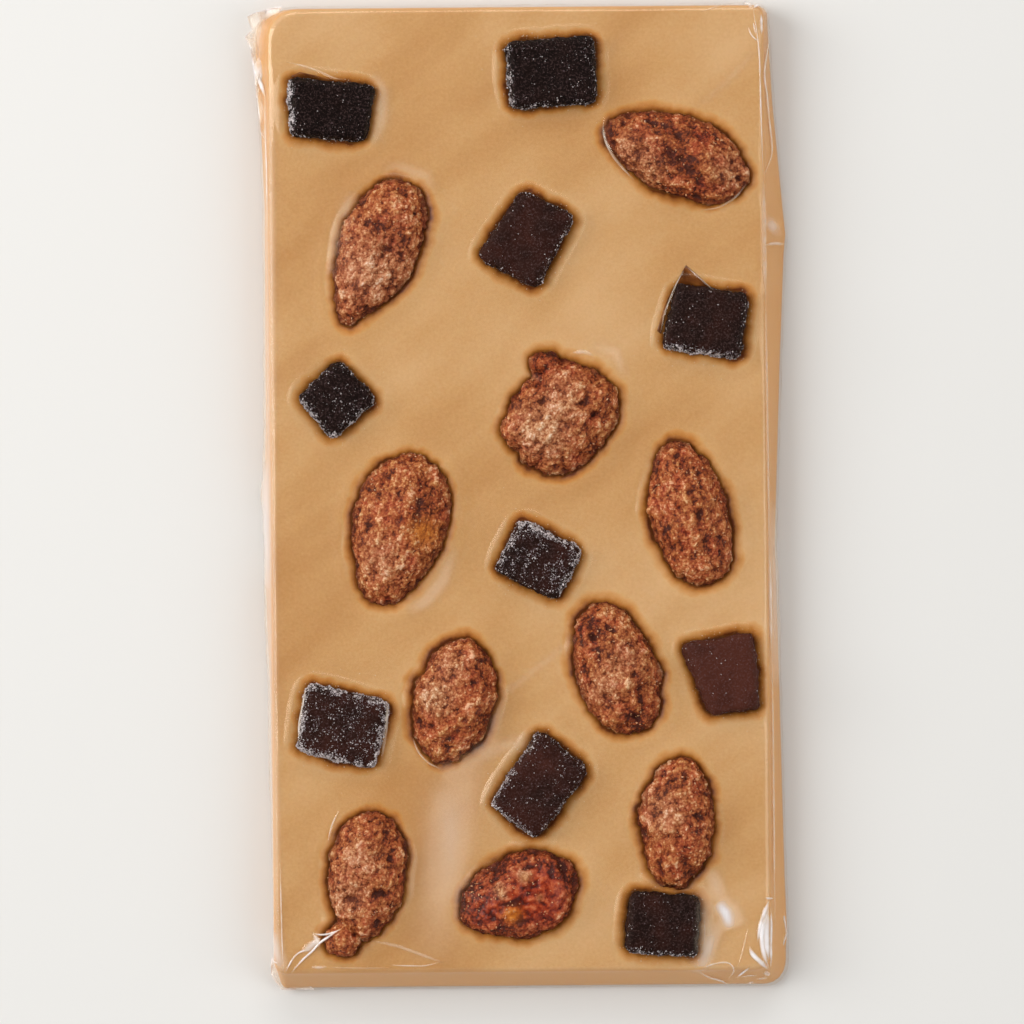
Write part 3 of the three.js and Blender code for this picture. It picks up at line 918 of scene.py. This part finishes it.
FILM_LOW, FILM_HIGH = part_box("film")
FILM_STEP = 0.44 * MM
FILM_CLEARANCE = 0.12 * MM
# How hard the film is drawn down between the toppings: its sag for each step of the sheet
CLING = 0.032 * MM
SETTLING_PASSES = 200
# How far out of a topping the film stands off, in millimetres
TENT_REACH = 3.0
FILM_CRUMPLE = {"size": 4.0, "height": 0.25}
FILM_FLOOR = 0.4 * MM
# Painted sheens: soft reflections painted white on the film where it is stretched: the width of each
# in millimetres, how white it is, and its path in the 1024 x 1024 picture
SHEENS = [
    (9.0, 0.16, [(474, 740), (455, 800), (444, 860), (432, 970)]),
    (4.0, 0.09, [(445, 790), (452, 840), (448, 905)]),
    (3.0, 0.12, [(440, 775), (480, 752), (520, 742), (560, 748)]),
    (1.4, 0.08, [(430, 750), (470, 715), (520, 682), (560, 650), (590, 630)]),
    (2.4, 0.2, [(355, 190), (345, 215), (338, 240), (333, 275)]),
    (2.2, 0.12, [(380, 170), (400, 168), (425, 176), (436, 196)]),
    (2.2, 0.18, [(455, 545), (443, 580), (425, 602), (405, 612)]),
    (2.2, 0.18, [(372, 72), (382, 92), (381, 120), (374, 146)]),
    (2.0, 0.16, [(505, 695), (494, 728), (478, 755)]),
    (2.0, 0.12, [(590, 345), (615, 352), (626, 380)]),
    (1.6, 0.75, [(717, 902), (725, 913), (731, 929)]),
    (2.4, 0.2, [(722, 901), (733, 911), (742, 928)]),
    (2.0, 0.26, [(722, 920), (712, 942), (705, 958), (698, 975)]),
    (2.4, 0.22, [(708, 868), (716, 885), (724, 905)]),
    (3.0, 0.3, [(702, 885), (702, 930), (699, 974)]),
    (2.4, 0.4, [(768, 229), (773, 225), (778, 221)]),
    (2.2, 0.32, [(268, 60), (268, 250), (267, 512), (269, 700), (272, 850), (276, 990)]),
    (2.0, 0.3, [(262, 460), (262, 515), (264, 590)]),
    (1.6, 0.3, [(262, 12), (256, 34), (257, 60)]),
    (2.0, 0.35, [(272, 930), (276, 952), (284, 972)]),
    (1.6, 0.3, [(774, 500), (776, 590), (777, 690)]),
    (1.4, 0.07, [(690, 112), (720, 88), (745, 62), (760, 46)]),
    (2.4, 0.03, [(560, 120), (600, 60), (640, 20)]),
]
# How gently a sheen fades in and out along its path
SHEEN_FADING = 0.6
# A sheen is lost near a topping: none this near in millimetres, and in full this much further out
SHEEN_GAP = 0.21
SHEEN_RISE = 0.7


def maximum_nearby(heights):
    """Each point's own height or its highest neighbour's."""
    padded = np.pad(heights, 1, mode="edge")
    return np.max([padded[1:-1, 1:-1], padded[:-2, 1:-1], padded[2:, 1:-1],
                   padded[1:-1, :-2], padded[1:-1, 2:]], axis=0)


def draped_heights(flat, columns, rows):
    """The height of a sheet drawn down over what lies under it, at each of its points."""
    below = mesh_tree(almonds + jellies + [slab, jelly_crystals])
    ground = np.empty(len(flat))
    for i, point in enumerate(flat):
        hit = below.ray_cast(Vector((*point, 2 * FILM_HIGH.z)), DOWN)[0]
        ground[i] = (hit.z if hit else FACE_Z) + FILM_CLEARANCE
    # The film bridges the moats and the fine grain of what it touches
    ground = maximum_nearby(ground.reshape(rows, columns))
    height = ground.copy()
    for _ in range(SETTLING_PASSES):
        mean = (height[:-2, 1:-1] + height[2:, 1:-1] + height[1:-1, :-2] + height[1:-1, 2:]) / 4
        height[1:-1, 1:-1] = np.maximum(ground[1:-1, 1:-1], mean - CLING)
    return height.ravel()


def film_side(rim, out, down, share):
    """Follows the slab's side a little way off, slack where the film stands off it."""
    way = outward(rim.xy)
    slope = foot_slope(rim, 0.0) * share
    spot = Vector((rim.x, rim.y, 3 * down)) / MM
    crumple = abs(noise.noise(spot / FILM_CRUMPLE["size"])) * FILM_CRUMPLE["height"] * MM * share
    away = out + FILM_CLEARANCE * min(1.0, down / SLAB_EDGE) + crumple
    above = FILM_CLEARANCE * max(0.0, 1 - down / SLAB_EDGE)
    x = rim.x + way.x * (away + slope.x) + FACE_MIDDLE.x
    y = rim.y + way.y * (away + slope.y) + FACE_MIDDLE.y
    return Vector((
        min(FILM_HIGH.x, max(FILM_LOW.x, x)), min(FILM_HIGH.y, max(FILM_LOW.y, y)),
        FACE_Z + above - down,
    ))


def sheen_share(flat):
    """How white each of some places on the film is with the painted sheens there."""
    white = np.zeros(len(flat))
    for width, whiteness, spots in SHEENS:
        path = np.array([at_picture(spot, FACE_Z) for spot in spots])
        nearest = np.full(len(flat), np.inf)
        fading = np.zeros(len(flat))
        for i, (start, end) in enumerate(zip(path, path[1:])):
            way = end - start
            along = np.clip((flat - start) @ way / (way @ way), 0, 1)
            away = np.linalg.norm(flat - start - along[:, None] * way, axis=1)
            share = (i + along) / (len(path) - 1)
            fading = np.where(away < nearest, np.sin(np.pi * share) ** SHEEN_FADING, fading)
            nearest = np.minimum(nearest, away)
        white += whiteness * fading * np.exp(-((nearest / (width * MM / 2)) ** 2))
    return white


def wrap_film():
    bm = bmesh.new()
    columns, rows = face_grid(bm, FILM_STEP)
    heights = draped_heights([v.co.xy + FACE_MIDDLE for v in bm.verts], columns, rows)
    for vertex, height in zip(bm.verts, heights):
        vertex.co.z = height
    face_points = len(bm.verts)
    extrude_rim(bm, side_rings(FACE_Z - FILM_FLOOR), film_side)
    bm.verts.ensure_lookup_table()
    bmesh.ops.translate(bm, verts=bm.verts[:face_points], vec=(*FACE_MIDDLE, 0))
    piece = new_object("film_wrap", bm)
    mesh = piece.data
    toppings = mesh_tree(almonds + jellies)
    near = [toppings.find_nearest(v.co)[3] / MM for v in mesh.vertices]
    clear_of_toppings = np.clip((np.array(near) - SHEEN_GAP) / SHEEN_RISE, 0, 1)
    # Painted sheens: white painted on the film where soft light is reflected
    white = sheen_share(np.array([v.co.xy for v in mesh.vertices]))
    finish_surface(mesh, {
        "over_topping": [max(0.0, 1 - away / TENT_REACH) for away in near],
        "haze_and_sheen": white * clear_of_toppings,
    })
    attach(piece, "root")
    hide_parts("film")
    return piece


def clear_film(tree):
    """Thin polypropylene film: colourless and glossy, so that only its reflections show, faint where
    it faces the eye and stronger at a slant. It is dulled over the rough toppings, painted white in
    soft sheens that stand for reflections, and white where it is creased, partly as fine stress marks
    and partly as painted highlights."""
    through = add_node(tree, "BsdfTransparent")
    slant = add_node(tree, "LayerWeight", {"Blend": 0.5})
    steep = add_node(tree, "Math", {0: slant.outputs["Facing"], 1: 4.0}, operation="POWER")
    tent = add_node(tree, "Attribute", attribute_name="over_topping").outputs["Fac"]
    grazing = add_node(tree, "MapRange", {"Value": tent, "From Max": 0.5, "To Min": 0.34, "To Max": 0.02})
    facing = add_node(tree, "MapRange", {
        "Value": tent, "From Max": 0.8, "To Min": 0.045, "To Max": 0.002,
    })
    mirror = add_node(tree, "Math", {0: steep, 1: grazing, 2: facing}, operation="MULTIPLY_ADD")
    haze_and_sheen = add_node(tree, "Attribute", attribute_name="haze_and_sheen").outputs["Fac"]
    seen = add_node(tree, "Math", {0: mirror, 1: haze_and_sheen}, operation="ADD", use_clamp=True)
    rough = add_node(tree, "Math", {0: tent, 1: 0.3, 2: 0.08}, operation="MULTIPLY_ADD")
    clear = add_node(tree, "MapRange", {"Value": haze_and_sheen, "From Max": 0.12, "To Min": 1.0, "To Max": 0.0})
    # Painted warm light: where the film is only faintly white its colour is painted warm, as if lit by
    # light from the chocolate
    whiter = add_node(tree, "MapRange", {"Value": haze_and_sheen, "From Min": 0.2, "From Max": 0.6})
    painted_warm_tint = add_node(tree, "Mix", {0: whiter, 6: linear("#ffecd2"), 7: linear("#faf6f6")}, data_type="RGBA")
    gloss = add_node(tree, "BsdfPrincipled", {"Base Color": painted_warm_tint, "Metallic": clear, "Roughness": rough})
    return add_node(tree, "MixShader", {0: seen, 1: through, 2: gloss})


film_material = new_material("clear_film", clear_film)
film = wrap_film()
film.data.materials.append(film_material)


# ---- Creases in the film ----
# The film is creased where it was pulled round the corners, down the sides and beside some
# toppings, and each crease is painted white, partly as stress whitening and partly as painted
# highlight. Each crease is a narrow, ridged strip of the same film that lies on the wrap.

CREASE_STEP = 0.5 * MM
CREASE_LIFT = 0.05 * MM
# Height of a crease's ridge for each millimetre of its width, up to a widest one
RIDGE = 0.3 * MM
RIDGE_WIDEST = 0.6
# The patches that a crease's whiteness varies in: their size, its middle value and how much it varies
CREASE_PATCH = {"size": 1.3 * MM, "middle": 0.85, "contrast": 0.5}
# How wide and how white a crease still is at its tips
CREASE_TIP = {"width": 0.25, "white": 0.15}
# How many faces a crease has across, and how often its path is smoothed
CREASE_ROWS = 4
CREASE_PASSES = 3
# The width of each crease in millimetres, how white it is, and its path in the 1024 x 1024 picture
CREASES = [
    # upper left corner and the left side
    (0.8, 0.9, [(253, 65), (258, 76), (262, 86), (265, 96)]),
    (0.28, 0.6, [(265, 90), (265.5, 130), (267, 170), (268, 230)]),
    (0.45, 0.3, [(286, 62), (300, 65), (318, 71), (334, 79), (345, 80)]),
    # lower left corner
    (0.28, 0.5, [(280, 860), (281, 900), (282, 940), (284, 975)]),
    (0.36, 0.85, [(285, 973), (290, 963), (296, 954), (304, 950), (313, 949)]),
    (0.42, 0.9, [(290, 974), (297, 966), (305, 957), (313, 951), (318, 944), (324, 940), (333, 934),
                 (341, 929)]),
    (1.4, 0.5, [(302, 952), (312, 945), (320, 939)]),
    (1.0, 0.5, [(313, 933), (318, 940), (319, 947)]),
    (0.34, 0.8, [(311, 932), (316, 935), (325, 935), (334, 933), (341, 929)]),
    (0.6, 0.45, [(311, 967), (318, 967.5), (327, 967)]),
    (0.2, 0.25, [(326, 967.5), (360, 968), (392, 968)]),
    (0.28, 0.4, [(389, 965), (398, 965.5), (425, 966), (441, 962)]),
    (0.6, 0.25, [(372, 941), (398, 946), (425, 956), (444, 963)]),
    (0.35, 0.75, [(270, 957), (279, 964)]),
    # upper right corner and the right side
    (0.26, 0.65, [(752, 0), (753.5, 12), (756, 26), (758, 40), (759.5, 60), (760, 85), (761, 120),
                  (762, 150), (763, 176)]),
    (0.34, 0.75, [(748, 26), (750, 34), (754, 39), (758.5, 41)]),
    (0.5, 0.8, [(761, 14), (761, 25), (761.5, 35)]),
    (0.35, 0.5, [(753, 22), (756, 35)]),
    (0.9, 0.75, [(744, 0), (748, 4), (753, 9)]),
    (0.5, 0.7, [(753, 8), (759, 5)]),
    (0.38, 0.6, [(769, 24), (769, 40), (766.5, 55), (764, 68), (764, 80), (766.5, 92), (768, 110),
                 (770, 130), (772, 145), (771.5, 157), (768, 165), (764, 175)]),
    (0.8, 0.35, [(763, 176), (763.5, 210), (764, 250), (765, 300)]),
    (0.4, 0.3, [(765, 290), (767, 420), (769, 560)]),
    (0.6, 0.5, [(769, 550), (770, 600), (771, 650)]),
    (0.36, 0.35, [(771.5, 640), (773, 760), (774, 880), (775, 935)]),
    (0.6, 0.45, [(765, 245), (774, 243), (785, 244)]),
    (0.35, 0.22, [(700, 12), (720, 6), (741, 1)]),
    # lower right corner
    (0.9, 0.95, [(769, 906), (765, 920), (761.5, 934), (762, 946), (764.5, 957), (768, 968)]),
    (0.46, 0.9, [(770.5, 907), (771, 925), (770.5, 945), (770.5, 969)]),
    (1.1, 0.95, [(768, 911), (766.5, 926), (766.5, 944), (768.5, 960)]),
    (0.8, 0.9, [(769, 900), (764, 913), (760, 927), (757.5, 942)]),
    (0.95, 0.95, [(749.5, 946), (751, 953), (756, 958), (762, 963), (768, 969)]),
    (0.45, 0.5, [(765, 898), (773, 898.5)]),
    (0.45, 0.7, [(737, 977), (744, 971), (750, 967)]),
    (0.26, 0.6, [(741, 977), (748, 975), (757, 975.5)]),
    (0.34, 0.55, [(700, 971), (705, 966), (713, 964), (722, 962), (729, 962), (734, 966), (735, 971),
                  (732, 975), (727, 979)]),
    (0.38, 0.6, [(700, 971), (704, 975), (711, 978), (720, 980), (725, 982), (729, 985)]),
    (0.3, 0.25, [(748, 928), (743, 950), (738, 967)]),
    (0.9, 0.5, [(764, 971), (770, 975)]),
    (0.45, 0.45, [(757, 979), (768, 977)]),
    # beside the toppings
    (0.5, 0.4, [(604, 118), (603, 130), (606, 142), (613, 156), (622, 167), (634, 180)]),
    (0.36, 0.28, [(746, 184), (735, 198), (718, 208), (700, 210)]),
    (0.36, 0.5, [(306, 688), (303, 705), (299, 725), (299, 742)]),
    (0.5, 0.35, [(388, 698), (386, 730), (381, 762)]),
    (0.26, 0.4, [(686, 266), (675, 287), (664, 315), (661, 332)]),
    (0.26, 0.4, [(686, 266), (698, 277), (713, 290)]),
    (0.38, 0.4, [(413, 738), (418, 752), (428, 763), (442, 769)]),
    (0.42, 0.45, [(339, 811), (332, 824), (328, 842)]),
    (0.8, 0.35, [(572, 353), (585, 351), (594, 356)]),
]


def on_film(flat, tree):
    """The point of the wrap, and its slope, under a place."""
    point, normal, _, _ = tree.ray_cast(Vector((*flat, 2 * FILM_HIGH.z)), DOWN)
    if point is None:
        point, normal, _, _ = tree.find_nearest(Vector((*flat, FACE_Z / 2)))
    return point, normal


def crease_film(bm, crease, tree, haze_and_sheen):
    """Lays one crease along its path, narrower, lower and fainter towards its ends."""
    width, white, spots = crease
    path = []
    for spot in spots:
        point, _ = on_film(at_picture(spot, FACE_Z), tree)
        path.append(at_picture(spot, point.z))
    lengths = np.cumsum([0] + [(b - a).length for a, b in zip(path, path[1:])])
    steps = max(4, round(lengths[-1] / CREASE_STEP))
    centre = np.array([np.interp(np.linspace(0, lengths[-1], steps + 1), lengths, [p[i] for p in path])
                       for i in (0, 1)]).T
    for _ in range(CREASE_PASSES):
        centre[1:-1] = (centre[:-2] + 2 * centre[1:-1] + centre[2:]) / 4
    headings = np.gradient(centre, axis=0)
    strip = bmesh.ops.create_grid(bm, x_segments=steps, y_segments=CREASE_ROWS, size=1)["verts"]
    for vertex in strip:
        i = round((vertex.co.x + 1) / 2 * steps)
        across = vertex.co.y
        heading = Vector(headings[i]).normalized()
        end = min(1.0, 4 * min(i, steps - i) / steps)
        half = width * MM / 2 * (CREASE_TIP["width"] + (1 - CREASE_TIP["width"]) * end)
        flat = Vector(centre[i]) + Vector((-heading.y, heading.x)) * (across * half)
        point, normal = on_film(flat, tree)
        ridge = RIDGE * min(width, RIDGE_WIDEST) * (1 - across**2) * end
        vertex.co = point + normal * (CREASE_LIFT + ridge)
        patchy = noise.noise(point / CREASE_PATCH["size"]) * CREASE_PATCH["contrast"]
        tip = CREASE_TIP["white"] + (1 - CREASE_TIP["white"]) * end
        # The crease's white: partly stress whitening and partly painted highlight
        vertex[haze_and_sheen] = white * (CREASE_PATCH["middle"] + patchy) * (1 - across**2) * tip


def crease_the_film():
    bm = bmesh.new()
    haze_and_sheen = bm.verts.layers.float.new("haze_and_sheen")
    tree = mesh_tree([film])
    for crease in CREASES:
        crease_film(bm, crease, tree, haze_and_sheen)
    bmesh.ops.recalc_face_normals(bm, faces=bm.faces)
    piece = new_object("film_creases", bm)
    finish_surface(piece.data, {})
    piece.data.materials.append(film_material)
    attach(piece, "root")
    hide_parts("film")


crease_the_film()


# ---- Folds of the film ----
# Where the film's folded ends meet its sides, a double layer of it sticks out at three corners,
# crumpled into flat facets, with white edges and white patches that are painted highlights.
# Underneath, the long edges are welded in a lap seam, which ends at the flap folded in from each end.

# Outline of each fold and its height off the table, in millimetres, and how much it is crumpled
FOLDS = {
    "upper_left_ear": {
        "outline": [(-36.6, 77.6), (-39.4, 77.2), (-42.3, 76.0), (-41.6, 73.9), (-42.8, 72.8),
                    (-41.8, 70.9), (-41.5, 68.4), (-40.3, 57.7), (-39.4, 56.0), (-39.2, 66.0),
                    (-39.0, 73.0)],
        "height": 4.0, "crumple": 0.9,
    },
    "lower_left_ear": {
        "outline": [(-39.9, -72.6), (-39.9, -75.4), (-38.4, -77.7), (-33.0, -77.7), (-35.0, -76.2),
                    (-38.2, -74.8)],
        "height": 1.8, "crumple": 0.5,
    },
    "lower_right_ear": {
        "outline": [(40.6, -62.0), (41.7, -69.5), (39.6, -75.6), (35.5, -77.5), (36.0, -76.0),
                    (39.0, -73.0), (40.2, -68.0)],
        "height": 2.2, "crumple": 0.5,
    },
    "lap_seam": {
        "outline": [(3.0, -59.4), (15.0, -59.8), (14.6, -20.0), (15.2, 25.0), (15.0, 58.4),
                    (3.0, 58.1), (3.3, 20.0), (2.9, -25.0)],
        "height": 0.3, "crumple": 0.03,
    },
    "upper_flap": {
        "outline": [(-38.0, 75.5), (-27.0, 59.0), (0.0, 58.2), (27.5, 59.0), (38.0, 75.5)],
        "height": 0.15, "crumple": 0.04,
    },
    "lower_flap": {
        "outline": [(-36.5, -75.5), (38.5, -75.5), (26.0, -60.5), (0.0, -59.7), (-26.5, -60.5)],
        "height": 0.15, "crumple": 0.04,
    },
}
FOLD_RIM = 0.3 * MM
FOLD_FACET = 2.4 * MM
FOLD_PASSES = 5
FOLD_THICKNESS = 0.06 * MM
# Size of the facets that a fold is crumpled in, how high they stand on a fully crumpled fold, and
# the size of its painted highlight patches
CRUMPLE_SIZE = 1.7 * MM
CRUMPLE_HEIGHT = 2 * MM
HIGHLIGHT_PATCH = 1.2 * MM
# How white a fold is at its rim, painted as a highlight, and on its flat sheet, and how much more
# where it is crumpled, all over and in patches, painted as highlights on the facets
FOLD_WHITE_AND_SHEEN = {"rim": 0.55, "sheet": 0.03, "crumpled": 0.16, "patches": 0.8}


def fold_film(name, fold):
    bm = bmesh.new()
    haze_and_sheen = bm.verts.layers.float.new("haze_and_sheen")
    height = fold["height"] * MM
    sheet = bm.faces.new([bm.verts.new((x * MM, y * MM, height)) for x, y in fold["outline"]])
    sheet.normal_update()
    bmesh.ops.inset_region(bm, faces=[sheet], thickness=FOLD_RIM, use_boundary=True,
                           use_even_offset=True)
    # The rim is painted white as a highlight, the sheet a little white, more where it is crumpled
    sheet_white_and_sheen = FOLD_WHITE_AND_SHEEN["sheet"] + FOLD_WHITE_AND_SHEEN["crumpled"] * fold["crumple"]
    for vertex in bm.verts:
        vertex[haze_and_sheen] = FOLD_WHITE_AND_SHEEN["rim"] if vertex.is_boundary else sheet_white_and_sheen
    bmesh.ops.triangulate(bm, faces=bm.faces)
    for _ in range(FOLD_PASSES):
        long = [edge for edge in bm.edges if edge.calc_length() > FOLD_FACET]
        bmesh.ops.subdivide_edges(bm, edges=long, cuts=1)
        bmesh.ops.triangulate(bm, faces=bm.faces)
    for vertex in bm.verts:
        vertex.co.z += noise.noise(vertex.co / CRUMPLE_SIZE) * fold["crumple"] * CRUMPLE_HEIGHT
        # Painted highlights: white patches on the crumpled facets
        patch = max(0.0, noise.noise(vertex.co / HIGHLIGHT_PATCH))
        vertex[haze_and_sheen] += fold["crumple"] * FOLD_WHITE_AND_SHEEN["patches"] * patch
    piece = new_object("film_" + name, bm)
    piece.data.materials.append(film_material)
    thickness = piece.modifiers.new("thickness", "SOLIDIFY")
    thickness.thickness = FOLD_THICKNESS
    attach(piece, "root")
    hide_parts("film")


for name, fold in FOLDS.items():
    fold_film(name, fold)


# ---- Floor, light and camera ----
# A plain pale table top under large soft lights, seen from straight above. The camera is turned
# by half a degree, as the bar lies in the picture.

bpy.ops.mesh.primitive_plane_add(size=4)
floor = bpy.context.object
floor.name = "table_top"
floor.data.materials.append(new_material("pale_table_top", lambda tree: add_node(
    tree, "BsdfPrincipled", {"Base Color": linear("#e4e2de"), "Roughness": 0.6},
)))

# The walls of the studio are pale and its ceiling is dark, so that the film's flat face stays clear
world = bpy.data.worlds.new("studio")
world.use_nodes = True
world_tree = world.node_tree
sky = add_node(world_tree, "TexCoord").outputs["Generated"]
height = add_node(world_tree, "SeparateXYZ", {0: sky}).outputs["Z"]
walls = add_node(world_tree, "ValToRGB", {"Fac": height}, stops=[
    (0.0, "#e8e8e8"), (0.78, "#e8e8e8"), (0.93, "#303030"), (1.0, "#181818"),
])
background = world_tree.nodes["Background"]
world_tree.links.new(walls.outputs[0], background.inputs["Color"])
background.inputs["Strength"].default_value = 0.7
bpy.context.scene.world = world
bpy.context.scene.view_settings.view_transform = "Standard"

# Place, width, length and power of each soft light, in metres and watts; all face the bar
SOFTBOXES = {
    "left": ((-0.8, 0.2, 0.7), 0.6, 0.9, 8.6),
    "right": ((0.8, -0.1, 0.75), 0.5, 0.9, 2.8),
    "far": ((0.0, 1.0, 0.8), 0.9, 0.4, 3.6),
}
for name, (place, width, length, power) in SOFTBOXES.items():
    lamp = bpy.data.lights.new("softbox_" + name, "AREA")
    lamp.shape = "RECTANGLE"
    lamp.size, lamp.size_y, lamp.energy = width, length, power
    softbox = bpy.data.objects.new("softbox_" + name, lamp)
    softbox.location = place
    softbox.rotation_euler = (-Vector(place)).to_track_quat("-Z", "Y").to_euler()
    bpy.context.scene.collection.objects.link(softbox)

camera_data = bpy.data.cameras.new("camera")
camera_data.lens = camera_data.sensor_width * VIEW_DISTANCE / VIEW_WIDTH
camera = bpy.data.objects.new("camera", camera_data)
camera.location = (VIEW_CENTRE.x, VIEW_CENTRE.y, FACE_Z + VIEW_DISTANCE)
camera.rotation_euler = (0, 0, VIEW_TURN)
bpy.context.scene.collection.objects.link(camera)
bpy.context.scene.camera = camera
